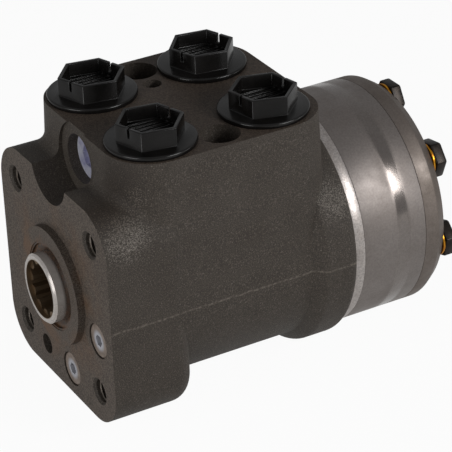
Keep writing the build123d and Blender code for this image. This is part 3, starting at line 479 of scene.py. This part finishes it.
# %% [markdown]
# ## Soft edges
# Even a sharp machined edge is broken by one to three tenths of a millimetre, and that narrow
# facet is what catches the light. A Bevel modifier on a merged copy of the CAD node gives it. The copy
# stands for the node in the render, and the node stays as it is for the physics.

# %% Soft edges
EDGE_SEGMENTS = 2
SHARP_ANGLE = math.radians(30)    # faces that meet at more than this make an edge


def soften(name, width_mm):
    """A copy of a CAD node whose sharp edges are rounded by width_mm."""
    node = frame["nodes"][name]
    bpy.ops.object.select_all(action="DESELECT")
    piece = node.copy()
    piece.data = node.data.copy()
    piece.name = piece.data.name = f"{name}_broken_edges"
    bpy.context.scene.collection.objects.link(piece)
    bpy.context.view_layer.objects.active = piece
    piece.select_set(True)
    bpy.ops.object.mode_set(mode="EDIT")
    bpy.ops.mesh.select_all(action="SELECT")
    bpy.ops.mesh.remove_doubles(threshold=0.002 * MM)
    bpy.ops.mesh.dissolve_limited(angle_limit=math.radians(0.5))
    bpy.ops.object.mode_set(mode="OBJECT")
    bevel = piece.modifiers.new("broken_edges", "BEVEL")
    bevel.width = width_mm * MM
    bevel.segments = EDGE_SEGMENTS
    bevel.limit_method = "ANGLE"
    bevel.angle_limit = SHARP_ANGLE
    bevel.use_clamp_overlap = False
    bpy.ops.object.modifier_apply(modifier=bevel.name)
    bpy.ops.object.shade_smooth_by_angle(angle=SHARP_ANGLE)
    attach(piece, body_of[name])
    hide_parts(name)


print("edges are picked where two faces meet at more than", round(math.degrees(SHARP_ANGLE)), "degrees")

# %% [markdown]
# ## Turned and ground steel
# A lathe or a grinding wheel leaves fine lines that run round the part. We get them from a noise
# that reads the place along the shaft and the distance from it, and nothing else, so each line
# closes on itself. A second, wide noise is the oil film: it darkens the metal and dulls it.

# %% Turned steel
def turned_steel(
    name, colour, oiled_colour, roughness, line_mm, depth_mm, film_mm=18.0, mottle=0.09
):
    """Metal with fine lines round the shaft, an uneven film of oil and a mottled tone."""
    material, shader, place = start_material(name, colour, 1.0, roughness)
    split = add_node(material, "ShaderNodeSeparateXYZ", inputs={0: place})
    across = add_node(material, "ShaderNodeCombineXYZ", inputs={1: (split, 1), 2: (split, 2)})
    radius = add_node(material, "ShaderNodeVectorMath", {"operation": "LENGTH"}, {0: (across, 0)})
    drift = add_node(material, "ShaderNodeMath", {"operation": "MULTIPLY"}, {0: (split, 2), 1: 0.03})
    lane = add_node(
        material, "ShaderNodeCombineXYZ",
        inputs={0: (split, 0), 1: (radius, "Value"), 2: (drift, 0)},
    )
    lines = add_node(
        material, "ShaderNodeTexNoise",
        inputs={"Vector": (lane, 0), "Scale": grain(line_mm), "Detail": 2.0},
    )
    film = add_node(
        material, "ShaderNodeTexNoise",
        inputs={"Vector": place, "Scale": grain(film_mm), "Detail": 4.0, "Roughness": 0.6},
    )
    filmed = add_node(
        material, "ShaderNodeMix", {"data_type": "RGBA"},
        {"Factor": (film, 0), 6: linear(colour), 7: linear(oiled_colour)},
    )
    specks = add_node(
        material, "ShaderNodeTexNoise",
        inputs={"Vector": place, "Scale": grain(0.7), "Detail": 3.0, "Roughness": 0.7},
    )
    speck_tone = add_node(
        material, "ShaderNodeMapRange",
        inputs={
            "Value": (specks, 0), "From Min": 0.38, "From Max": 0.62,
            "To Min": 1.0 - mottle, "To Max": 1.0 + mottle,
        },
    )
    tone = add_node(
        material, "ShaderNodeMix", {"data_type": "RGBA", "blend_type": "MULTIPLY"},
        {"Factor": 1.0, 6: (filmed, 2), 7: (speck_tone, 0)},
    )
    link(material, tone, 2, shader, "Base Color")
    dulled = add_node(
        material, "ShaderNodeMapRange",
        inputs={
            "Value": (film, 0), "From Min": 0.3, "From Max": 0.7,
            "To Min": roughness * 0.85, "To Max": roughness * 1.25,
        },
    )
    link(material, dulled, "Result", shader, "Roughness")
    bump = add_node(
        material, "ShaderNodeBump",
        inputs={"Strength": 0.6, "Distance": depth_mm * MM, "Height": (lines, 0)},
    )
    link(material, bump, "Normal", shader, "Normal")
    return material, shader, {"split": split, "dulled": dulled, "tone": tone}


print("turning lines 0.25 mm apart need a scale of", grain(0.25))

# %% [markdown]
# ## The gear rim
# The rim of the gear set is hardened steel, ground on the outside to a satin finish. Where a
# band of it has been rubbed in the hand it is smoother, and that band shows sharp bright and dark
# patches in what is otherwise a wide soft highlight. So the roughness follows the place along
# the shaft: low between two values, high elsewhere.

# %% Ground gear steel
BAND_FRONT = 0.1155    # m, where the rubbed band starts and ends along the shaft
BAND_REAR = 0.1205
rim_steel, rim_shader, rim_parts = turned_steel(
    "ground_gear_steel", "#918b88", "#726a65", 0.44, line_mm=0.35, depth_mm=0.012,
)
band_start = add_node(
    rim_steel, "ShaderNodeMapRange", {"interpolation_type": "SMOOTHSTEP"},
    {"Value": (rim_parts["split"], 0), "From Min": BAND_FRONT - 0.001, "From Max": BAND_FRONT + 0.001},
)
band_end = add_node(
    rim_steel, "ShaderNodeMapRange", {"interpolation_type": "SMOOTHSTEP"},
    {
        "Value": (rim_parts["split"], 0), "From Min": BAND_REAR - 0.001,
        "From Max": BAND_REAR + 0.0015, "To Min": 1.0, "To Max": 0.0,
    },
)
band = add_node(
    rim_steel, "ShaderNodeMath", {"operation": "MULTIPLY"}, {0: (band_start, 0), 1: (band_end, 0)}
)
rim_roughness = add_node(
    rim_steel, "ShaderNodeMix", {"data_type": "FLOAT"},
    {"Factor": (band, 0), 2: (rim_parts["dulled"], 0), 3: 0.19},
)
link(rim_steel, rim_roughness, 0, rim_shader, "Roughness")
finish(rim_steel, "gear_rim")
soften("gear_rim", 0.30)
print("the rubbed band is", round((BAND_REAR - BAND_FRONT) * 1000, 1), "mm wide")

# %% [markdown]
# ## The distribution plate and the end cover
# The plate between housing and rim is bright ground steel. The end cover is turned from bar: its
# lines are coarser and its oil film is browner. A broken edge on each draws the thin line of the
# joints between them.

# %% Plate and cover
plate_steel, *_ = turned_steel(
    "surface_ground_plate", "#c4bebb", "#938a84", 0.36, line_mm=0.45, depth_mm=0.02, film_mm=4.0,
    mottle=0.2,
)
finish(plate_steel, "distribution_plate")
soften("distribution_plate", 0.15)

cover_steel, *_ = turned_steel(
    "turned_cover_steel", "#867e79", "#665d56", 0.50, line_mm=0.5, depth_mm=0.03, film_mm=12.0,
)
finish(cover_steel, "end_cover")
soften("end_cover", 0.15)
print("plate and cover finished")

# %% [markdown]
# ## Screws and washers
# The cover screws are black: the steel is oxidised in a hot salt bath and oiled, which leaves
# a thin dark layer with a dull shine. The washers are zinc plated and passivated yellow, and
# only a thin gold crescent of each shows beside its screw head.

# %% Black oxide and yellow zinc
def dipped_metal(name, colour, second_colour, metallic, roughness, patch_mm, dimple_mm):
    """Metal with a thin chemical layer: two close colours in patches, and shallow dimples."""
    material, shader, place = start_material(name, colour, metallic, roughness)
    patches = add_node(
        material, "ShaderNodeTexNoise",
        inputs={"Vector": place, "Scale": grain(patch_mm), "Detail": 4.0, "Roughness": 0.6},
    )
    contrast = add_node(
        material, "ShaderNodeMapRange",
        inputs={"Value": (patches, 0), "From Min": 0.35, "From Max": 0.65},
    )
    tone = add_node(
        material, "ShaderNodeMix", {"data_type": "RGBA"},
        {"Factor": (contrast, 0), 6: linear(colour), 7: linear(second_colour)},
    )
    link(material, tone, 2, shader, "Base Color")
    dulled = add_node(
        material, "ShaderNodeMapRange",
        inputs={"Value": (patches, 0), "To Min": roughness * 0.7, "To Max": roughness * 1.3},
    )
    link(material, dulled, 0, shader, "Roughness")
    bump = add_node(
        material, "ShaderNodeBump",
        inputs={"Strength": 0.5, "Distance": dimple_mm * MM, "Height": (patches, 0)},
    )
    link(material, bump, "Normal", shader, "Normal")
    return material, shader, tone


black_oxide, *_ = dipped_metal(
    "black_oxide_steel", "#1c1917", "#2e2823", 0.75, 0.34, patch_mm=1.6, dimple_mm=0.03
)
yellow_zinc, *_ = dipped_metal(
    "yellow_passivated_zinc", "#d79a2b", "#b5722a", 1.0, 0.30, patch_mm=2.5, dimple_mm=0.01
)
finish(black_oxide, "cover_screws", "special_screw")
finish(yellow_zinc, "screw_washers")
print("black and yellow mixed")

# %% [markdown]
# ## Seven cover screws
# Each screw head starts as a six-sided cylinder. Its outer end is inset and pulled out a little,
# for the crown that a real head gets when it is cold formed, and a bevel breaks the edges. The
# shank is extruded from the seat of the head. One screw is modelled and the other six are copies
# turned round the shaft. The washers are made the same way from a plain ring.

# %% One screw and its copies
COVER_REAR = 136.8       # mm, outer face of the end cover
WASHER = {"radius": 6.3, "hole": 4.2, "thickness": 0.9}
HEAD = {"flats": 12.8, "height": 4.0, "crown": 0.6}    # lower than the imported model's heads
SHANK_RADIUS = 4.0
SHANK_END = 82.3         # mm from the column face
SCREW_CIRCLE = 35.0      # mm, radius
SCREW_COUNT = 7
SPECIAL_SCREW = 3        # counted from the top one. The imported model's has a spigot, left out here
CROWN_INSET = 0.8        # mm


def select_faces(mesh_object, chosen):
    """In edit mode, selects just the faces for which chosen(face) is true."""
    bpy.ops.mesh.select_all(action="DESELECT")
    bpy.ops.object.mode_set(mode="OBJECT")
    for face in mesh_object.data.polygons:
        face.select = chosen(face)
    bpy.ops.object.mode_set(mode="EDIT")
    bpy.ops.mesh.select_mode(type="FACE")


def screw(name):
    """A hexagon head screw along X at the top place of the screw circle."""
    seat = COVER_REAR + WASHER["thickness"]
    bpy.ops.object.select_all(action="DESELECT")
    bpy.ops.mesh.primitive_cylinder_add(
        vertices=6, radius=HEAD["flats"] / math.sqrt(3) * MM, depth=HEAD["height"] * MM,
        location=((seat + HEAD["height"] / 2) * MM, 0, SCREW_CIRCLE * MM),
        rotation=(0, math.pi / 2, 0),
    )
    piece = bpy.context.object
    piece.name = piece.data.name = name
    bpy.ops.object.transform_apply(location=True, rotation=True)
    bpy.ops.object.mode_set(mode="EDIT")
    select_faces(piece, lambda face: face.normal.x > 0.9)
    bpy.ops.mesh.inset(thickness=CROWN_INSET * MM)
    bpy.ops.transform.translate(value=(HEAD["crown"] * MM, 0, 0))
    select_faces(piece, lambda face: face.normal.x < -0.9)
    bpy.ops.mesh.inset(thickness=(HEAD["flats"] / 2 - SHANK_RADIUS) * MM)
    bpy.ops.mesh.extrude_region_move(
        TRANSFORM_OT_translate={"value": ((SHANK_END - seat) * MM, 0, 0)}
    )
    bpy.ops.object.mode_set(mode="OBJECT")
    bevel = piece.modifiers.new("formed_edges", "BEVEL")
    bevel.width = 0.45 * MM
    bevel.segments = 3
    bevel.angle_limit = math.radians(20)
    bpy.ops.object.modifier_apply(modifier=bevel.name)
    bpy.ops.object.shade_smooth_by_angle(angle=math.radians(35))
    return piece


def washer(name):
    """A flat ring on the end cover at the top place of the screw circle."""
    bpy.ops.object.select_all(action="DESELECT")
    bpy.ops.mesh.primitive_circle_add(
        vertices=48, radius=WASHER["radius"] * MM, fill_type="NGON",
        location=(COVER_REAR * MM, 0, SCREW_CIRCLE * MM), rotation=(0, math.pi / 2, 0),
    )
    piece = bpy.context.object
    piece.name = piece.data.name = name
    bpy.ops.object.transform_apply(location=True, rotation=True)
    bpy.ops.object.mode_set(mode="EDIT")
    bpy.ops.mesh.select_all(action="SELECT")
    bpy.ops.mesh.inset(thickness=(WASHER["radius"] - WASHER["hole"]) * MM)
    bpy.ops.mesh.delete(type="FACE")
    bpy.ops.mesh.select_all(action="SELECT")
    bpy.ops.mesh.extrude_region_move(
        TRANSFORM_OT_translate={"value": (WASHER["thickness"] * MM, 0, 0)}
    )
    bpy.ops.mesh.select_all(action="SELECT")
    bpy.ops.mesh.normals_make_consistent(inside=False)
    bpy.ops.object.mode_set(mode="OBJECT")
    bevel = piece.modifiers.new("stamped_edges", "BEVEL")
    bevel.width = 0.2 * MM
    bevel.segments = 2
    bpy.ops.object.modifier_apply(modifier=bevel.name)
    bpy.ops.object.shade_smooth_by_angle(angle=math.radians(35))
    return piece


def turned_copy(piece, name, angle):
    """A copy with its own mesh, turned about the shaft, with its place in its mesh."""
    bpy.ops.object.select_all(action="DESELECT")
    twin = piece.copy()
    twin.data = piece.data.copy()
    twin.name = twin.data.name = name
    bpy.context.scene.collection.objects.link(twin)
    bpy.context.view_layer.objects.active = twin
    twin.select_set(True)
    twin.rotation_euler = (angle, 0, 0)
    bpy.ops.object.transform_apply(rotation=True)
    return twin


for make, metal, slot, stem in (
    (screw, black_oxide, "black_steel", "cover_screw"),
    (washer, yellow_zinc, "yellow_zinc", "screw_washer"),
):
    first = make(f"{stem}_0")
    ring = [first] + [
        turned_copy(first, f"{stem}_{index}", math.tau * index / SCREW_COUNT)
        for index in range(1, SCREW_COUNT)
    ]
    for index, piece in enumerate(ring):
        piece.data.materials.append(metal)
        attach(piece, body_of["cover_screws"])
        if stem == "screw_washer":
            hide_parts("screw_washers")
        elif index == SPECIAL_SCREW:
            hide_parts("special_screw")
        else:
            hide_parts("cover_screws")
print(SCREW_COUNT, "screws and washers on a", 2 * SCREW_CIRCLE, "mm circle")

# %% [markdown]
# ## The spool's nose
# The spool is hardened and ground, so its nose is the brightest thing on the front. Inside the
# socket the splines are broached and left with a film of brown oil: the colour changes with the
# distance from the shaft axis. The nose's outer wall is less metallic, so that its pale colour
# shows as a painted sheen in place of reflections.

# %% Hardened spool steel
SOCKET_RADIUS = 0.0109    # m, just outside the spline's root
NOSE_START, NOSE_END = -0.0036, -0.0024    # m, between them the less metallic nose wall, a painted sheen, turns to bright steel
spool_steel, spool_shader, spool_parts = turned_steel(
    "hardened_spool_steel", "#d8d2cd", "#a39a93", 0.24, line_mm=0.5, depth_mm=0.01, film_mm=5.0,
    mottle=0.05,
)
spool_across = add_node(
    spool_steel, "ShaderNodeCombineXYZ",
    inputs={1: (spool_parts["split"], 1), 2: (spool_parts["split"], 2)},
)
spool_radius = add_node(
    spool_steel, "ShaderNodeVectorMath", {"operation": "LENGTH"}, {0: (spool_across, 0)}
)
inside = add_node(
    spool_steel, "ShaderNodeMapRange",
    inputs={
        "Value": (spool_radius, "Value"), "From Min": SOCKET_RADIUS - 0.0002,
        "From Max": SOCKET_RADIUS + 0.0002, "To Min": 1.0, "To Max": 0.0,
    },
)
spool_tone = add_node(
    spool_steel, "ShaderNodeMix", {"data_type": "RGBA"},
    {"Factor": (inside, 0), 6: (spool_parts["tone"], 2), 7: linear("#7d6b56")},
)
link(spool_steel, spool_tone, 2, spool_shader, "Base Color")
spool_roughness = add_node(
    spool_steel, "ShaderNodeMix", {"data_type": "FLOAT"},
    {"Factor": (inside, 0), 2: (spool_parts["dulled"], 0), 3: 0.5},
)
link(spool_steel, spool_roughness, 0, spool_shader, "Roughness")
at_nose = add_node(
    spool_steel, "ShaderNodeMapRange",
    inputs={
        "Value": (spool_parts["split"], 0), "From Min": NOSE_START, "From Max": NOSE_END,
        "To Min": 1.0, "To Max": 0.0,
    },
)
outside = add_node(spool_steel, "ShaderNodeMath", {"operation": "SUBTRACT"}, {0: 1.0, 1: (inside, 0)})
nose_wall_sheen = add_node(
    spool_steel, "ShaderNodeMath", {"operation": "MULTIPLY"}, {0: (at_nose, 0), 1: (outside, 0)}
)
# Painted sheen: the nose's outer wall is made less metallic, so the lamps light its pale colour as a
# sheen.
nose_sheen_metallic = add_node(
    spool_steel, "ShaderNodeMapRange", inputs={"Value": (nose_wall_sheen, 0), "To Min": 1.0, "To Max": 0.3}
)
link(spool_steel, nose_sheen_metallic, 0, spool_shader, "Metallic")
finish(spool_steel, "spool")
print("the socket's colour starts inside", SOCKET_RADIUS * 1000, "mm")

# %% [markdown]
# ## Plugs in the casting
# The relief valve's plug is steel with a clear zinc plating, which looks white and slightly blue.
# The two shock valve plugs are the same, but dirt has tinted them, and only the middle still
# shows the blue.

# %% Clear zinc plating
clear_zinc, *_ = dipped_metal(
    "clear_passivated_zinc", "#c8c9d2", "#8e8db4", 0.25, 0.38, patch_mm=5.0, dimple_mm=0.02
)
finish(clear_zinc, "relief_plug")

stained_zinc, stained_shader, stained_tone = dipped_metal(
    "stained_zinc_plating", "#8a7b70", "#74665b", 0.2, 0.5, patch_mm=1.8, dimple_mm=0.03
)
SHOCK_PLUGS = {"inner": (-7.2, -31.5), "outer": (-30.7, -7.8)}    # y and z, mm
stained_place = add_node(stained_zinc, "ShaderNodeTexCoord")
middles = []
for plug_y, plug_z in SHOCK_PLUGS.values():
    distance = add_node(
        stained_zinc, "ShaderNodeVectorMath", {"operation": "DISTANCE"},
        {0: (stained_place, "Object"), 1: (0.001, plug_y * MM, plug_z * MM)},
    )
    middles.append(distance)
nearest = add_node(
    stained_zinc, "ShaderNodeMath", {"operation": "MINIMUM"},
    {0: (middles[0], "Value"), 1: (middles[1], "Value")},
)
rim_share = add_node(
    stained_zinc, "ShaderNodeMapRange", {"interpolation_type": "SMOOTHSTEP"},
    {"Value": (nearest, 0), "From Min": 0.0024, "From Max": 0.0046},
)
plug_tone = add_node(
    stained_zinc, "ShaderNodeMix", {"data_type": "RGBA"},
    {"Factor": (rim_share, 0), 6: linear("#b3b4bb"), 7: (stained_tone, 2)},
)
link(stained_zinc, plug_tone, 2, stained_shader, "Base Color")
finish(stained_zinc, "shock_valve_plugs")
print("plugs finished")

# %% [markdown]
# ## Rubber and plastic
# Seals are moulded nitrile rubber, nearly black and matt. The dust seal by the nose has old
# grease and rust dust in its groove. The port caps are injection moulded polyethylene: black,
# a little glossy, with a faint waviness, and their broken edges draw thin light lines.

# %% Moulded materials
def moulded(name, colour, second_colour, roughness, patch_mm, dimple_mm):
    """Plastic or rubber from a mould: two close colours, slightly wavy."""
    return dipped_metal(name, colour, second_colour, 0.0, roughness, patch_mm, dimple_mm)


cap_plastic, cap_shader, _ = moulded(
    "moulded_polyethylene", "#0b0a09", "#131110", 0.22, patch_mm=9.0, dimple_mm=0.06
)
cap_shader.inputs["Specular IOR Level"].default_value = 0.3
for port in "tplr":
    finish(cap_plastic, f"port_cap_{port}")
    soften(f"port_cap_{port}", 0.22)

greased_rubber, *_ = moulded(
    "greased_nitrile_rubber", "#221b15", "#5c4029", 0.5, patch_mm=1.3, dimple_mm=0.15
)
finish(greased_rubber, "dust_seal")
nitrile, *_ = moulded("moulded_nitrile_rubber", "#141312", "#1f1d1b", 0.5, patch_mm=0.8, dimple_mm=0.02)
finish(nitrile, "shaft_seal_o_ring", "plate_o_ring", "rim_o_ring", "cover_o_ring", "relief_seal")
filled_ptfe, *_ = moulded("bronze_filled_ptfe", "#6d5a3f", "#7a6749", 0.4, patch_mm=0.5, dimple_mm=0.005)
finish(filled_ptfe, "shaft_seal_ring")
print("caps and seals finished")

# %% [markdown]
# ## Inside the unit
# The pieces inside show only when a cap is lifted or the unit is opened. They are all steel:
# ground where they run on each other, drawn wire for the springs, and plain turned for the rest.

# %% Inner steels
running_steel, *_ = turned_steel(
    "lapped_running_steel", "#a9a5a2", "#8b8682", 0.2, line_mm=0.3, depth_mm=0.004
)
finish(running_steel, "sleeve", "rotor", "cross_pin", "relief_poppet", "spring_ring")
bearing_steel, *_ = turned_steel(
    "through_hardened_bearing_steel", "#b3b0ae", "#96928f", 0.15, line_mm=0.2, depth_mm=0.002
)
finish(
    bearing_steel, "bearing_race_front", "bearing_race_rear", "bearing_cage", "bearing_needles",
    "shock_valve_ball_inner", "shock_valve_ball_outer", "check_valve_ball",
)
shaft_steel, *_ = turned_steel(
    "phosphated_shaft_steel", "#5c5752", "#47423d", 0.5, line_mm=0.4, depth_mm=0.02
)
finish(shaft_steel, "drive_shaft", "spacer", "check_valve_bushing", "relief_setting_screw")
spring_steel, *_ = dipped_metal(
    "oil_tempered_spring_wire", "#3d3936", "#55504b", 0.9, 0.35, patch_mm=0.8, dimple_mm=0.005
)
finish(
    spring_steel, "centring_springs", "relief_spring", "shock_valve_spring_inner",
    "shock_valve_spring_outer",
)
left_plain = set(frame["nodes"]) - finished
print("nodes without a finish:", sorted(left_plain))

# %% [markdown]
# ## Threads in the column flange
# Four M10 holes take the screws of the steering column. In the dark of each hole the thread
# shows as two or three thin bright arcs. A thread is a small triangle carried round the hole and
# along it at once, and that is exactly what the Screw modifier does with a profile.

# %% Threads
THREAD_PITCH = 1.5        # mm
THREAD_CORE = 4.25        # mm, radius of the drilled hole
THREAD_HEIGHT = 0.5       # mm, how far the crest stands in
THREAD_START = 1.4        # mm behind the face, past the chamfer
THREAD_TURNS = 9
COLUMN_HOLE = 82.5 / 2 / math.sqrt(2)    # mm, from the shaft axis each way


def thread_ridge(name, y_mm, z_mm):
    """The crest of one tapped hole's thread, as a triangle swept in a helix."""
    bpy.ops.object.select_all(action="DESELECT")
    bpy.ops.mesh.primitive_circle_add(
        vertices=3, radius=THREAD_HEIGHT * MM, fill_type="NOTHING",
        location=(0, 0, THREAD_CORE * MM), rotation=(-math.pi / 2, 0, 0),
    )
    ridge = bpy.context.object
    ridge.name = ridge.data.name = name
    bpy.ops.object.transform_apply(location=True, rotation=True)
    helix = ridge.modifiers.new("helix", "SCREW")
    helix.axis = "X"
    helix.angle = math.tau
    helix.screw_offset = THREAD_PITCH * MM
    helix.iterations = THREAD_TURNS
    helix.steps = helix.render_steps = 40
    helix.use_merge_vertices = True
    bpy.ops.object.modifier_apply(modifier=helix.name)
    ridge.location = (THREAD_START * MM, y_mm * MM, z_mm * MM)
    bpy.ops.object.transform_apply(location=True)
    bpy.ops.object.mode_set(mode="EDIT")
    bpy.ops.mesh.select_all(action="SELECT")
    bpy.ops.mesh.fill_holes(sides=4)
    bpy.ops.mesh.normals_make_consistent(inside=False)
    bpy.ops.object.mode_set(mode="OBJECT")
    bpy.ops.object.shade_smooth_by_angle(angle=math.radians(30))
    ridge.data.materials.append(tapped_iron)
    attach(ridge, body_of["housing"])


tapped_iron, *_ = dipped_metal(
    "tapped_iron", "#8d857d", "#5d544c", 0.9, 0.3, patch_mm=1.5, dimple_mm=0.01
)
corners = [(y, z) for y in (-COLUMN_HOLE, COLUMN_HOLE) for z in (-COLUMN_HOLE, COLUMN_HOLE)]
for index, (hole_y, hole_z) in enumerate(corners, start=1):
    thread_ridge(f"column_thread_{index}", hole_y, hole_z)
print(len(corners), "threads of", THREAD_TURNS, "turns")
